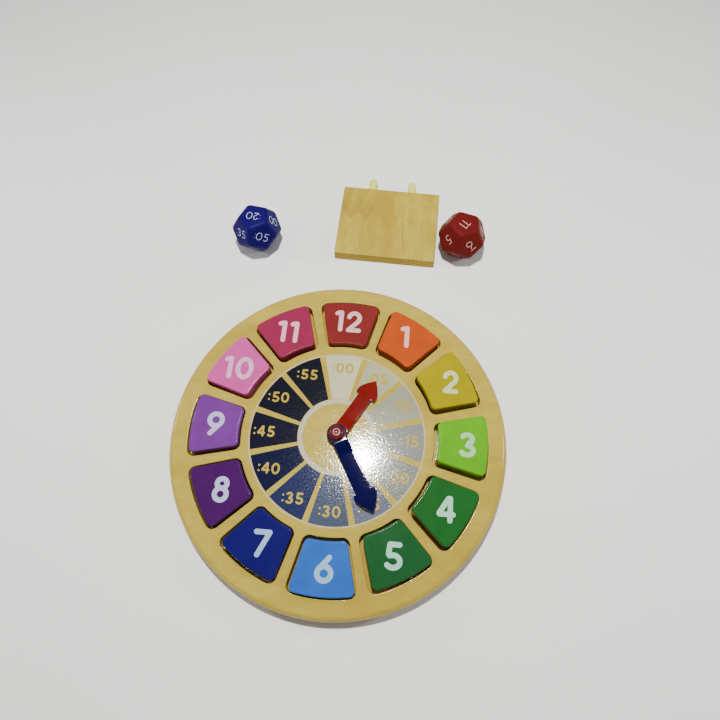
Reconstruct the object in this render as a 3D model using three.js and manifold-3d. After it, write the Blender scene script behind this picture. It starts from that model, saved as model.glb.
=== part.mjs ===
// A wooden learning clock: a round board lying face up with twelve lift-out number blocks in its
// pockets, two plastic hands on a centre pin, a plate that plugs in behind as a stand, and two
// twelve-sided dice. Millimetres, +Z up; the origin is the centre of the board's underside and
// 12 o'clock is at +Y.
import * as THREE from "three";
import { mergeVertices } from "three/addons/utils/BufferGeometryUtils.js";
import Module from "manifold-3d";

const wasm = await Module();
wasm.setup();

// Board: a front layer with the pockets cut through it, glued on a solid back layer
const BOARD_DIAMETER = 280;
const BACK_THICKNESS = 9;
const FRONT_THICKNESS = 11;
const FACE_EDGE_ROUND = 5;
const BACK_EDGE_ROUND = 3;

// Pockets: ring sectors with round corners, between spokes that widen outwards
const HOURS = 12;
const POCKET_INNER_RADIUS = 80.4;
const RIM_WIDTH = 15.7;
const SPOKE_INNER_WIDTH = 7;
const SPOKE_OUTER_WIDTH = 8.9;
const POCKET_CORNER_RADIUS = 6;

// Number blocks: the pocket's outline drawn in by a clearance
const BLOCK_CLEARANCE = 1.9;
const BLOCK_PROUD = 5.5;
const BLOCK_EDGE_ROUND = 1.2;

// Where each block has slid and turned in its pocket, 1 to 12 o'clock, as shares of the clearance:
// clockwise, outwards, and clockwise at the block's side by turning
const BLOCK_SEAT_SHARES = [
  [-0.1, 0.4, 0.3], [-0.6, 0, 0.3], [-0.7, 0.4, 0], [-0.5, 0.4, 0],
  [-0.7, 0, 0.1], [-0.4, 0.4, -0.1], [-0.5, -0.5, -0.2], [-0.3, -0.5, 0.1],
  [0.2, -0.6, 0.2], [-0.1, 0.6, 0.2], [-0.3, 0.3, 0.2], [0.2, -0.6, 0.1],
];

// Centre pin with its domed cap
const PIN_DIAMETER = 6;
const PIN_ANCHOR_DEPTH = 6;
const CAP_DIAMETER = 12.6;
const CAP_EDGE_HEIGHT = 1.2;
const CAP_DOME_HEIGHT = 3.4;
const CAP_DIMPLE_DIAMETER = 6.2;
const CAP_DIMPLE_DEPTH = 0.9;

// Hands: a hub, an arm and an arrowhead with squared barbs
const HAND_ARM_WIDTH = 12.4;
const HAND_SLOPE_LENGTH = 10;
const HEAD_WIDTH = 18.4;
const HEAD_BARB_LENGTH = 4.6;
const HEAD_TIP_RADIUS = 1.1;
const HEAD_BULGE = 1.3;
const HUB_THICKNESS = 4;
const HUB_EDGE_ROUND = 0.8;
const HOUR_HUB_DIAMETER = 16.8;
const HOUR_HAND_LENGTH = 57;
const HOUR_HEAD_LENGTH = 16.5;
const HOUR_ARM_THICKNESS = 2.8;
const HOUR_HAND_DEGREES = 29.8;
const MINUTE_HUB_DIAMETER = 16;
const MINUTE_HAND_LENGTH = 68;
const MINUTE_HEAD_LENGTH = 17.2;
const MINUTE_ARM_THICKNESS = 2.6;
const MINUTE_ARM_DROP = 1.5;
const MINUTE_HAND_DEGREES = 149.3;

// Washers under the hour hand and between the hands
const BASE_WASHER_DIAMETER = 14.6;
const BASE_WASHER_THICKNESS = 1;
const SPACER_WASHER_DIAMETER = 11;
const SPACER_WASHER_THICKNESS = 0.6;
const RUNNING_GAP = 0.3;

// Stand: a plate with two dowels that plug into the back of the board
const STAND_WIDTH = 97;
const STAND_DEPTH = 79;
const STAND_THICKNESS = 11;
const STAND_CORNER_RADIUS = 1.4;
const STAND_EDGE_ROUND = 0.8;
const DOWEL_DIAMETER = 8.6;
const DOWEL_SPACING = 40;
const DOWEL_REACH = 14;
const DOWEL_ROOT = 14;
const DOWEL_NOSE_LENGTH = 2.6;
const DOWEL_NOSE_SHARE = 0.5; // of the dowel's radius, the flat left at its nose
const DOWEL_HOLE_CLEARANCE = 0.4;
const GLUE_GAP = 0.3;
const DOWEL_HOLE_RIM = 10.5; // from the board's edge to the middle of the holes
const STAND_X = 26.6;
const STAND_Y = 220.6;
const STAND_DEGREES = -1.8;

// Twelve-sided dice, lying on a face
const DIE_HEIGHT = 39;
const DIE_CORNER_SHARE = 0.955; // of the distance to the sharp corners, left by their rounding
const MINUTE_DIE_X = -99.2;
const MINUTE_DIE_Y = 198.1;
const MINUTE_DIE_DEGREES = 10.7;
const HOUR_DIE_X = 98.5;
const HOUR_DIE_Y = 205.2;
const HOUR_DIE_DEGREES = 3.7;

// Facets
const BOARD_SIDES = 96;
const BORE_SIDES = 24;
const HUB_SIDES = 36;
const ROUND_STEPS = 2;
const OUTLINE_STEPS = 3;
const BLOCK_ROUND_STEPS = 2;
const DIE_CORNER_STEPS = 6;
const OVERRUN = 2; // how far every cutter runs past what it cuts
const WELD = 1e-4;

const BOARD_RADIUS = BOARD_DIAMETER / 2;
const BOARD_THICKNESS = BACK_THICKNESS + FRONT_THICKNESS;
const POCKET_OUTER_RADIUS = BOARD_RADIUS - RIM_WIDTH;
const HOUR_STEP = (2 * Math.PI) / HOURS;

const clock = new THREE.Group();
clock.name = "wooden_learning_clock";

function paint(color, roughness) {
  return new THREE.MeshStandardMaterial({ color, roughness, metalness: 0 });
}

const FINISHES = {
  wood: paint(0xd2bd82, 0.45),
  layer: paint(0xc9b27a, 0.6),
  dowel: paint(0xe1dfb0, 0.6),
  washer: paint(0xd8d4c4, 0.6),
  redPlastic: paint(0xb0262a, 0.25),
  bluePlastic: paint(0x14146a, 0.25),
  redDie: paint(0x86150f, 0.3),
  blueDie: paint(0x1a1a86, 0.3),
};

const BLOCK_PAINTS = [
  0xd2602d, 0xcdb91e, 0x82b932, 0x2d782d, 0x236e32, 0x4b8ccd,
  0x1e2378, 0x551f73, 0x915aaa, 0xd77db4, 0xb93c64, 0xa53232,
].map((color) => paint(color, 0.5));

// A closed geometry as a solid that can be cut and joined
function solidOf(geometry) {
  const bare = geometry.index ? geometry.toNonIndexed() : geometry.clone();
  bare.deleteAttribute("normal");
  bare.deleteAttribute("uv");
  const welded = mergeVertices(bare, WELD);
  return new wasm.Manifold(
    new wasm.Mesh({
      numProp: 3,
      vertProperties: welded.attributes.position.array,
      triVerts: new Uint32Array(welded.index.array),
    }),
  );
}

function geometryOf(solid) {
  const { vertProperties, triVerts } = solid.getMesh();
  const geometry = new THREE.BufferGeometry();
  geometry.setAttribute("position", new THREE.BufferAttribute(vertProperties, 3));
  geometry.setIndex(new THREE.BufferAttribute(triVerts, 1));
  geometry.computeVertexNormals();
  return geometry;
}

function subtractAll(body, cutters) {
  return geometryOf(cutters.reduce((left, cutter) => left.subtract(solidOf(cutter)), solidOf(body)));
}

// A profile of radius and height, turned about +Z
function revolve(profile, sides) {
  return new THREE.LatheGeometry(profile.getPoints(ROUND_STEPS), sides).rotateX(Math.PI / 2);
}

// A plain round bar from one height to another
function bar(radius, low, high) {
  const profile = new THREE.Path();
  profile.moveTo(0, low);
  profile.lineTo(radius, low);
  profile.lineTo(radius, high);
  profile.lineTo(0, high);
  return revolve(profile, BORE_SIDES);
}

// A flat ring, such as a washer
function ring(radius, bore, low, high) {
  const profile = new THREE.Path();
  profile.moveTo(bore, low);
  profile.lineTo(radius, low);
  profile.lineTo(radius, high);
  profile.lineTo(bore, high);
  profile.closePath();
  return revolve(profile, HUB_SIDES);
}

// A disc whose lower and upper edges are rounded
function roundedDisc(radius, low, high, lowRound, highRound, sides) {
  const profile = new THREE.Path();
  profile.moveTo(0, low);
  profile.lineTo(radius - lowRound, low);
  if (lowRound) profile.absarc(radius - lowRound, low + lowRound, lowRound, -Math.PI / 2, 0);
  profile.lineTo(radius, high - highRound);
  if (highRound) profile.absarc(radius - highRound, high - highRound, highRound, 0, Math.PI / 2);
  profile.lineTo(0, high);
  return revolve(profile, sides);
}

// The outline of the pocket at 12 o'clock, drawn in all round by an inset. Each corner's arc is
// centred at its radius from the straight side and from the arc that it joins.
function pocketShape(inset) {
  const corner = POCKET_CORNER_RADIUS - inset;
  const inner = POCKET_INNER_RADIUS + inset;
  const outer = POCKET_OUTER_RADIUS - inset;
  const spoke = new THREE.Vector2(Math.sin(HOUR_STEP / 2), Math.cos(HOUR_STEP / 2));
  const across = new THREE.Vector2(-spoke.y, spoke.x);
  const low = spoke.clone().multiplyScalar(POCKET_INNER_RADIUS);
  low.addScaledVector(across, SPOKE_INNER_WIDTH / 2);
  const high = spoke.clone().multiplyScalar(POCKET_OUTER_RADIUS);
  high.addScaledVector(across, SPOKE_OUTER_WIDTH / 2);
  const along = high.clone().sub(low).normalize();
  const inwards = new THREE.Vector2(-along.y, along.x);
  const start = low.clone().addScaledVector(inwards, inset + corner);
  const centreAt = (radius) => {
    const near = start.dot(along);
    const reach = Math.sqrt(near * near - start.lengthSq() + radius * radius);
    return start.clone().addScaledVector(along, reach - near);
  };
  const innerCentre = centreAt(inner + corner);
  const outerCentre = centreAt(outer - corner);
  const side = Math.atan2(-inwards.y, -inwards.x);
  const innerAngle = innerCentre.angle();
  const outerAngle = outerCentre.angle();
  const shape = new THREE.Shape();
  shape.absarc(outerCentre.x, outerCentre.y, corner, side, outerAngle);
  shape.absarc(0, 0, outer, outerAngle, Math.PI - outerAngle);
  shape.absarc(-outerCentre.x, outerCentre.y, corner, Math.PI - outerAngle, Math.PI - side);
  shape.absarc(-innerCentre.x, innerCentre.y, corner, Math.PI - side, 2 * Math.PI - innerAngle);
  shape.absarc(0, 0, inner, Math.PI - innerAngle, innerAngle, true);
  shape.absarc(innerCentre.x, innerCentre.y, corner, Math.PI + innerAngle, 2 * Math.PI + side);
  return shape;
}

function extrude(shape, low, high, round = 0) {
  const geometry = new THREE.ExtrudeGeometry(shape, {
    depth: high - low - 2 * round,
    curveSegments: OUTLINE_STEPS,
    bevelEnabled: round > 0,
    bevelThickness: round,
    bevelSize: round,
    bevelOffset: -round,
    bevelSegments: BLOCK_ROUND_STEPS,
  });
  return geometry.translate(0, 0, low + round);
}

function place(name, geometry, material, parent = clock) {
  const mesh = new THREE.Mesh(geometry, material);
  mesh.name = name;
  parent.add(mesh);
  return mesh;
}

// Two holes in the back of the board for the stand's dowels, on the 6 o'clock side
function dowelHoles() {
  const radius = (DOWEL_DIAMETER + DOWEL_HOLE_CLEARANCE) / 2;
  const depth = DOWEL_REACH + DOWEL_HOLE_CLEARANCE;
  return [-1, 1].map((side) =>
    bar(radius, -OVERRUN, depth).translate((side * DOWEL_SPACING) / 2, DOWEL_HOLE_RIM - BOARD_RADIUS, 0),
  );
}

function backPanel() {
  const disc = roundedDisc(BOARD_RADIUS, 0, BACK_THICKNESS, BACK_EDGE_ROUND, 0, BOARD_SIDES);
  const low = BACK_THICKNESS - PIN_ANCHOR_DEPTH;
  const anchor = bar(PIN_DIAMETER / 2 + GLUE_GAP, low, BACK_THICKNESS + OVERRUN);
  return subtractAll(disc, [anchor, ...dowelHoles()]);
}

function frontBoard() {
  const top = BOARD_THICKNESS;
  const disc = roundedDisc(BOARD_RADIUS, BACK_THICKNESS, top, 0, FACE_EDGE_ROUND, BOARD_SIDES);
  const pinBore = bar(PIN_DIAMETER / 2 + GLUE_GAP, BACK_THICKNESS - OVERRUN, top + OVERRUN);
  const pockets = Array.from({ length: HOURS }, (_, hour) =>
    extrude(pocketShape(0), BACK_THICKNESS - OVERRUN, top + OVERRUN).rotateZ(hour * HOUR_STEP),
  );
  return subtractAll(disc, [pinBore, ...pockets, ...dowelHoles()]);
}

function numberBlocks() {
  const top = BOARD_THICKNESS + BLOCK_PROUD;
  const middle = (POCKET_INNER_RADIUS + POCKET_OUTER_RADIUS) / 2;
  const reach = middle * Math.sin(HOUR_STEP / 2);
  BLOCK_SEAT_SHARES.forEach(([clockwise, outwards, turn], index) => {
    const hour = index + 1;
    const pocket = new THREE.Group();
    pocket.rotation.z = -hour * HOUR_STEP;
    clock.add(pocket);
    const geometry = extrude(pocketShape(BLOCK_CLEARANCE), BACK_THICKNESS, top, BLOCK_EDGE_ROUND);
    geometry.translate(0, -middle, 0);
    const block = place(`number_block_${hour}`, geometry, BLOCK_PAINTS[index], pocket);
    block.position.set(clockwise * BLOCK_CLEARANCE, middle + outwards * BLOCK_CLEARANCE, 0);
    block.rotation.z = (-turn * BLOCK_CLEARANCE) / reach;
  });
}

// Heights of the stack on the pin, from the board's face up
const BASE_WASHER_TOP = BOARD_THICKNESS + BASE_WASHER_THICKNESS;
const HOUR_HAND_LOW = BASE_WASHER_TOP + RUNNING_GAP;
const SPACER_LOW = HOUR_HAND_LOW + HUB_THICKNESS + RUNNING_GAP;
const SPACER_TOP = SPACER_LOW + SPACER_WASHER_THICKNESS;
const MINUTE_HAND_LOW = SPACER_TOP + RUNNING_GAP;
const CAP_LOW = MINUTE_HAND_LOW + HUB_THICKNESS + RUNNING_GAP;

function centrePin() {
  const shank = PIN_DIAMETER / 2;
  const rim = CAP_DIAMETER / 2;
  const shoulder = CAP_LOW + CAP_EDGE_HEIGHT;
  const profile = new THREE.Path();
  profile.moveTo(0, BACK_THICKNESS - PIN_ANCHOR_DEPTH);
  profile.lineTo(shank, BACK_THICKNESS - PIN_ANCHOR_DEPTH);
  profile.lineTo(shank, CAP_LOW);
  profile.lineTo(rim, CAP_LOW);
  profile.lineTo(rim, shoulder);
  const crown = Math.acos(CAP_DIMPLE_DIAMETER / CAP_DIAMETER);
  profile.absellipse(0, shoulder, rim, CAP_DOME_HEIGHT, 0, crown);
  const lip = shoulder + CAP_DOME_HEIGHT * Math.sin(crown);
  profile.quadraticCurveTo(CAP_DIMPLE_DIAMETER / 4, lip - CAP_DIMPLE_DEPTH, 0, lip - CAP_DIMPLE_DEPTH);
  return revolve(profile, HUB_SIDES);
}

// Half of a hand's outline mirrored: arm, squared barbs, bowed flanks and a blunt tip, along +Y
function handShape(length, headLength) {
  const arm = HAND_ARM_WIDTH / 2;
  const barb = HEAD_WIDTH / 2;
  const neck = length - headLength;
  const flank = neck + HEAD_BARB_LENGTH;
  const tip = length - HEAD_TIP_RADIUS;
  const shape = new THREE.Shape();
  shape.moveTo(-arm, 0);
  shape.lineTo(arm, 0);
  shape.lineTo(arm, neck);
  shape.lineTo(barb, neck);
  shape.lineTo(barb, flank);
  shape.quadraticCurveTo(barb / 2 + HEAD_BULGE, (flank + tip) / 2 + HEAD_BULGE, HEAD_TIP_RADIUS, tip);
  shape.absarc(0, tip, HEAD_TIP_RADIUS, 0, Math.PI);
  shape.quadraticCurveTo(-barb / 2 - HEAD_BULGE, (flank + tip) / 2 + HEAD_BULGE, -barb, flank);
  shape.lineTo(-barb, neck);
  shape.lineTo(-arm, neck);
  return shape;
}

// The side view of a hand: as high as its hub there, then down a slope to the thinner arm, along +Y
function handSide(length, hubRadius, thickness, drop, slope) {
  const shape = new THREE.Shape();
  const foot = hubRadius + slope;
  const bend = hubRadius + slope / 2;
  shape.moveTo(-OVERRUN, 0);
  shape.lineTo(hubRadius, 0);
  shape.bezierCurveTo(bend, 0, bend, -drop, foot, -drop);
  shape.lineTo(length + OVERRUN, -drop);
  shape.lineTo(length + OVERRUN, thickness - drop);
  shape.lineTo(foot, thickness - drop);
  shape.bezierCurveTo(bend, thickness - drop, bend, HUB_THICKNESS, hubRadius, HUB_THICKNESS);
  shape.lineTo(-OVERRUN, HUB_THICKNESS);
  return shape;
}

function hand({ low, length, headLength, hubDiameter, thickness, drop, slope }) {
  const hubRadius = hubDiameter / 2;
  const plan = extrude(handShape(length, headLength), -drop - OVERRUN, HUB_THICKNESS + OVERRUN);
  const breadth = HEAD_WIDTH / 2 + OVERRUN;
  const side = extrude(handSide(length, hubRadius, thickness, drop, slope), -breadth, breadth);
  side.applyMatrix4(
    new THREE.Matrix4().makeBasis(
      new THREE.Vector3(0, 1, 0), new THREE.Vector3(0, 0, 1), new THREE.Vector3(1, 0, 0),
    ),
  );
  const hub = roundedDisc(hubRadius, 0, HUB_THICKNESS, HUB_EDGE_ROUND, HUB_EDGE_ROUND, HUB_SIDES);
  const bore = bar(PIN_DIAMETER / 2 + RUNNING_GAP, -OVERRUN, HUB_THICKNESS + OVERRUN);
  const arm = solidOf(plan).intersect(solidOf(side));
  return geometryOf(arm.add(solidOf(hub)).subtract(solidOf(bore))).translate(0, 0, low);
}

function hands() {
  const hour = hand({
    low: HOUR_HAND_LOW,
    length: HOUR_HAND_LENGTH,
    headLength: HOUR_HEAD_LENGTH,
    hubDiameter: HOUR_HUB_DIAMETER,
    thickness: HOUR_ARM_THICKNESS,
    drop: 0,
    slope: HAND_SLOPE_LENGTH,
  });
  const minute = hand({
    low: MINUTE_HAND_LOW,
    length: MINUTE_HAND_LENGTH,
    headLength: MINUTE_HEAD_LENGTH,
    hubDiameter: MINUTE_HUB_DIAMETER,
    thickness: MINUTE_ARM_THICKNESS,
    drop: MINUTE_ARM_DROP,
    slope: HAND_SLOPE_LENGTH,
  });
  const hourHand = place("hour_hand", hour, FINISHES.redPlastic);
  hourHand.rotation.z = THREE.MathUtils.degToRad(-HOUR_HAND_DEGREES);
  const minuteHand = place("minute_hand", minute, FINISHES.bluePlastic);
  minuteHand.rotation.z = THREE.MathUtils.degToRad(-MINUTE_HAND_DEGREES);
}

function washer(diameter, low, high) {
  return ring(diameter / 2, PIN_DIAMETER / 2 + RUNNING_GAP, low, high);
}

// The stand lies flat behind the clock, its dowels pointing away along +Y
function stand() {
  const group = new THREE.Group();
  group.position.set(STAND_X, STAND_Y, 0);
  group.rotation.z = THREE.MathUtils.degToRad(STAND_DEGREES);
  clock.add(group);
  const halfWidth = STAND_WIDTH / 2;
  const halfDepth = STAND_DEPTH / 2;
  const corner = STAND_CORNER_RADIUS;
  const outline = new THREE.Shape();
  outline.absarc(halfWidth - corner, corner - halfDepth, corner, -Math.PI / 2, 0);
  outline.absarc(halfWidth - corner, halfDepth - corner, corner, 0, Math.PI / 2);
  outline.absarc(corner - halfWidth, halfDepth - corner, corner, Math.PI / 2, Math.PI);
  outline.absarc(corner - halfWidth, corner - halfDepth, corner, Math.PI, (3 * Math.PI) / 2);
  const plate = extrude(outline, 0, STAND_THICKNESS, STAND_EDGE_ROUND);
  const root = halfDepth - DOWEL_ROOT;
  const socketRadius = DOWEL_DIAMETER / 2 + GLUE_GAP;
  const seats = [-1, 1].map((side) => (side * DOWEL_SPACING) / 2);
  const sockets = seats.map((x) =>
    alongY(bar(socketRadius, root - GLUE_GAP, halfDepth + OVERRUN), x),
  );
  place("stand_plate", subtractAll(plate, sockets), FINISHES.wood, group);
  ["stand_dowel_left", "stand_dowel_right"].forEach((name, index) => {
    place(name, alongY(dowel(root, halfDepth + DOWEL_REACH), seats[index]), FINISHES.dowel, group);
  });
}

// Lays a piece turned about +Z along +Y, at half the plate's thickness
function alongY(geometry, x) {
  return geometry.rotateX(-Math.PI / 2).translate(x, 0, STAND_THICKNESS / 2);
}

// A dowel with a tapered round nose
function dowel(low, high) {
  const radius = DOWEL_DIAMETER / 2;
  const flat = radius * DOWEL_NOSE_SHARE;
  const profile = new THREE.Path();
  profile.moveTo(0, low);
  profile.lineTo(radius, low);
  profile.lineTo(radius, high - DOWEL_NOSE_LENGTH);
  profile.quadraticCurveTo(radius, high, flat, high);
  profile.lineTo(0, high);
  return revolve(profile, BORE_SIDES);
}

// A die lying on a face, with a corner of that face turned to +X: the sharp solid cut by a ball
function dieGeometry() {
  const sharp = new THREE.DodecahedronGeometry(1);
  const corners = sharp.attributes.position;
  const points = [0, 1, 2].map((index) => new THREE.Vector3().fromBufferAttribute(corners, index));
  const plane = new THREE.Plane().setFromCoplanarPoints(...points);
  const outwards = plane.normal.clone().multiplyScalar(Math.sign(-plane.constant));
  const down = new THREE.Vector3(0, 0, -1);
  const lay = new THREE.Quaternion().setFromUnitVectors(outwards, down);
  const first = points[0].applyQuaternion(lay);
  const scale = DIE_HEIGHT / 2 / Math.abs(plane.constant);
  sharp.applyQuaternion(lay);
  sharp.rotateZ(-Math.atan2(first.y, first.x));
  sharp.scale(scale, scale, scale);
  const ball = new THREE.IcosahedronGeometry(scale * DIE_CORNER_SHARE, DIE_CORNER_STEPS);
  return geometryOf(solidOf(sharp).intersect(solidOf(ball))).translate(0, 0, DIE_HEIGHT / 2);
}

function die(name, x, y, degrees, material) {
  const mesh = place(name, dieGeometry(), material);
  mesh.position.set(x, y, 0);
  mesh.rotation.z = THREE.MathUtils.degToRad(degrees);
}

place("back_panel", backPanel(), FINISHES.layer);
place("front_board", frontBoard(), FINISHES.wood);
numberBlocks();
place("centre_pin", centrePin(), FINISHES.redPlastic);
place("base_washer", washer(BASE_WASHER_DIAMETER, BOARD_THICKNESS, BASE_WASHER_TOP), FINISHES.washer);
place("spacer_washer", washer(SPACER_WASHER_DIAMETER, SPACER_LOW, SPACER_TOP), FINISHES.washer);
hands();
stand();
die("minute_die", MINUTE_DIE_X, MINUTE_DIE_Y, MINUTE_DIE_DEGREES, FINISHES.blueDie);
die("hour_die", HOUR_DIE_X, HOUR_DIE_Y, HOUR_DIE_DEGREES, FINISHES.redDie);

export default clock;
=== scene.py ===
"""A wooden learning clock lying face up, with its stand and two dice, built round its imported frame."""

import math

import bmesh
import bpy
import numpy as np
from mathutils import Matrix, Vector


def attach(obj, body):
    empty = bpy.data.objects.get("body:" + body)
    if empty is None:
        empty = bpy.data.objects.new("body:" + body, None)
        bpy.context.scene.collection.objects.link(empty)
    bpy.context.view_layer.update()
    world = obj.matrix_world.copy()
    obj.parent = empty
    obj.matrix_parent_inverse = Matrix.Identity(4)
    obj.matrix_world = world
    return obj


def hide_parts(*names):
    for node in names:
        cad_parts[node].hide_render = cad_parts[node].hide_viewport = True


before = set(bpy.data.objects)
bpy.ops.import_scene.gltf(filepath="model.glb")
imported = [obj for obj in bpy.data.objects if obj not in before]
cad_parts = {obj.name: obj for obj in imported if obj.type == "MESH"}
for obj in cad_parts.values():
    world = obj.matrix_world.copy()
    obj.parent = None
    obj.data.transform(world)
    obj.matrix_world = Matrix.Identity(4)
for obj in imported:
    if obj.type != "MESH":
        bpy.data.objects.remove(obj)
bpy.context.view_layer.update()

MM = 0.001
HALF_TURN = math.pi
QUARTER_TURN = math.pi / 2

# Board, in millimetres as all sizes below
BOARD_RADIUS = 140
BACK_TOP = 9
FACE = 20
FACE_EDGE_ROUND = 5
BACK_EDGE_ROUND = 3
BACK_FLAT_RING = 1
GLUE_LINE = 0.15
DIAL_FIELD_RADIUS = 74
DIAL_FIELD_RINGS = (40, 12)  # radii where the faces of the dial's field meet

# Sides of round pieces
RIM_SIDES = 276
RING_SIDES = 180
DISC_SIDES = 96
HUB_SIDES = 72
HOLE_SIDES = 48

OVERRUN = 2  # how far every cutter runs past what it cuts
WELD = 1e-4

# Pockets, and the blocks that fill them
HOURS = 12
HOUR_ANGLE = 2 * math.pi / HOURS
POCKET_INNER_RADIUS = 80.4
POCKET_OUTER_RADIUS = 124.3
SPOKE_INNER_WIDTH = 7
SPOKE_OUTER_WIDTH = 8.9
POCKET_CORNER_RADIUS = 6
POCKET_LIP_ROUND = 0.7
BLOCK_CLEARANCE = 1.9
BLOCK_TOP = 25.5
BLOCK_EDGE_ROUND = 1.3
BLOCK_SEAT_SHARES = [
    (-0.1, 0.4, 0.3), (-0.6, 0, 0.3), (-0.7, 0.4, 0), (-0.5, 0.4, 0),
    (-0.7, 0, 0.1), (-0.4, 0.4, -0.1), (-0.5, -0.5, -0.2), (-0.3, -0.5, 0.1),
    (0.2, -0.6, 0.2), (-0.1, 0.6, 0.2), (-0.3, 0.3, 0.2), (0.2, -0.6, 0.1),
]

# Pin, washers and hands
PIN_RADIUS = 3
PIN_FOOT = 3
CAP_RADIUS = 6.3
CAP_LOW = 30.8
CAP_SHOULDER = CAP_LOW + 1.2
CAP_FOOT_ROUND = 0.4
CAP_CREST_RADIUS = 2.3
CAP_RISE = 3.2
CAP_DIP = 0.8
HUB_BORE_RADIUS = 3.3
HUB_HEIGHT = 4
HUB_EDGE_ROUND = 0.8
HAND_ARM_WIDTH = 12.4
HEAD_WIDTH = 18.4
HEAD_BARB_LENGTH = 4.6
HEAD_BULGE = 1.3
HEAD_TIP_RADIUS = 1.1
NECK_ROUND = 0.4
BARB_ROUND = 0.5
HAND_EDGE_ROUND = 0.5
HAND_CROWN = 0.03
SEAM = 0.02
HAND_SLOPE = 10
# The lean is the rise of an arm per millimetre to its right, which keeps the lamp's glare off it
HOUR_HAND = dict(length=57, head=16.5, hub_radius=8.4, thickness=2.8, drop=0, lean=0.04)
MINUTE_HAND = dict(length=68, head=17.2, hub_radius=8.0, thickness=2.6, drop=1.5, lean=-0.045)
HOUR_HAND_DEGREES = 29.8
MINUTE_HAND_DEGREES = 149.3
HOUR_HAND_FOOT = 21.3
MINUTE_HAND_FOOT = 26.5
WASHER_CHAMFER = 0.15
# For each washer its piece, its node, its radius, its foot and its top
WASHERS = [
    ("washer_under", "base_washer", 7.3, 20, 21),
    ("washer_between", "spacer_washer", 5.5, 25.6, 26.2),
]

# Stand plate and its dowels
STAND_CENTRE = (26.6, 220.6)
STAND_DEGREES = -1.8
STAND_WIDTH = 97
STAND_DEPTH = 79
STAND_THICKNESS = 11
STAND_CORNER_RADIUS = 1.6
STAND_EDGE_ROUND = 0.8
DOWEL_RADIUS = 4.3
DOWEL_SPACING = 40
DOWEL_REACH = 14
DOWEL_ROOT = 14
DOWEL_NOSE_LENGTH = 2.6
DOWEL_NOSE_SHARE = 0.5  # of the dowel's radius, the flat left at its nose
GLUE_GAP = 0.3
DOWEL_HOLE_RADIUS = 4.5
DOWEL_HOLE_DEPTH = 14.4
DOWEL_HOLE_Y = -129.5

# Dice
DIE_INRADIUS = 19.5
DIE_BLANK = 80
DIE_FILM = 0.05
DIE_EDGE_ROUND = 2.7
INRADIUS_SHARE = 0.7947  # of the distance to a sharp corner, on any solid of twelve pentagons
DIE_CORNER_SHARE = 0.945  # of that distance, left by the rounding of the corners
# Across, up the clock, and degrees
MINUTE_DIE_PLACE = (-99.2, 198.1, 10.7)
HOUR_DIE_PLACE = (98.5, 205.2, 3.7)
# Height and stroke of the numbers
MINUTE_DIE_NUMBER = (7.6, 0.52)
HOUR_DIE_NUMBER = (8.4, 0.54)


# Mesh helpers

def placed(name, data):
    """A new object in the scene."""
    thing = bpy.data.objects.new(name, data)
    bpy.context.scene.collection.objects.link(thing)
    return thing


def finished(name, mesh, material, body, nodes=(), sharp_degrees=40):
    """Makes a piece of a mesh in millimetres and sets it on its body."""
    mesh.transform(Matrix.Scale(MM, 4))
    mesh.materials.clear()
    mesh.materials.append(material)
    for face in mesh.polygons:
        face.use_smooth = True
    mesh.set_sharp_from_angle(angle=math.radians(sharp_degrees))
    piece = placed(name, mesh)
    weighted = piece.modifiers.new("flat faces stay flat", "WEIGHTED_NORMAL")
    weighted.keep_sharp = True
    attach(piece, body)
    if nodes:
        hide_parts(*nodes)
    return piece


def mesh_of(name, points, faces):
    mesh = bpy.data.meshes.new(name)
    mesh.from_pydata([tuple(point) for point in points], [], faces)
    tidy = bmesh.new()
    tidy.from_mesh(mesh)
    bmesh.ops.remove_doubles(tidy, verts=tidy.verts, dist=WELD)
    bmesh.ops.recalc_face_normals(tidy, faces=tidy.faces)
    tidy.to_mesh(mesh)
    tidy.free()
    return mesh


def wall_faces(levels, count, start=0, closed=False):
    """Faces that join each ring of a stack to the next and, if closed, the last ring to the first."""
    faces = []
    for level in range(levels if closed else levels - 1):
        low, high = start + level * count, start + (level + 1) % levels * count
        faces += [(low + i, low + (i + 1) % count, high + (i + 1) % count, high + i) for i in range(count)]
    return faces


def lofted(name, rings, closed=False):
    """A solid through rings of equal count, capped at both ends or closed on itself."""
    levels, count = len(rings), len(rings[0])
    faces = wall_faces(levels, count, closed=closed)
    if not closed:
        last = (levels - 1) * count
        faces += [tuple(range(count - 1, -1, -1)), tuple(range(last, last + count))]
    return mesh_of(name, np.concatenate(rings), faces)


def at_height(outline, height):
    return np.column_stack([outline, np.full(len(outline), float(height))])


def circle(radius, sides):
    turn = np.linspace(0, 2 * math.pi, sides, endpoint=False)
    return np.column_stack([radius * np.cos(turn), radius * np.sin(turn)])


def turned(name, profile, sides=DISC_SIDES, closed=False):
    """A profile of radius and height turned about +Z: a solid from its foot up, or a closed ring."""
    return lofted(name, [at_height(circle(radius, sides), z) for radius, z in profile], closed)


def corner_arc(centre_r, centre_z, radius, start, end, steps):
    """Points of radius and height along an arc, in degrees."""
    return [
        (centre_r + radius * math.cos(turn), centre_z + radius * math.sin(turn))
        for turn in np.radians(np.linspace(start, end, steps + 1))
    ]


def edge_steps(radius, count=4):
    """Pairs of inset and rise that round an edge, from its flat face out to its side."""
    turns = np.radians(np.linspace(0, 90, count))
    return [(radius * (1 - math.sin(turn)), radius * (1 - math.cos(turn))) for turn in turns]


def rounded_slab(name, outline, foot, top, radius, count=4):
    """A slab between two heights with both edges rounded; outline gives its points for an inset."""
    steps = edge_steps(radius, count)
    rings = [at_height(outline(inset), foot + rise) for inset, rise in steps]
    rings += [at_height(outline(inset), top - rise) for inset, rise in reversed(steps)]
    return lofted(name, rings)


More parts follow.
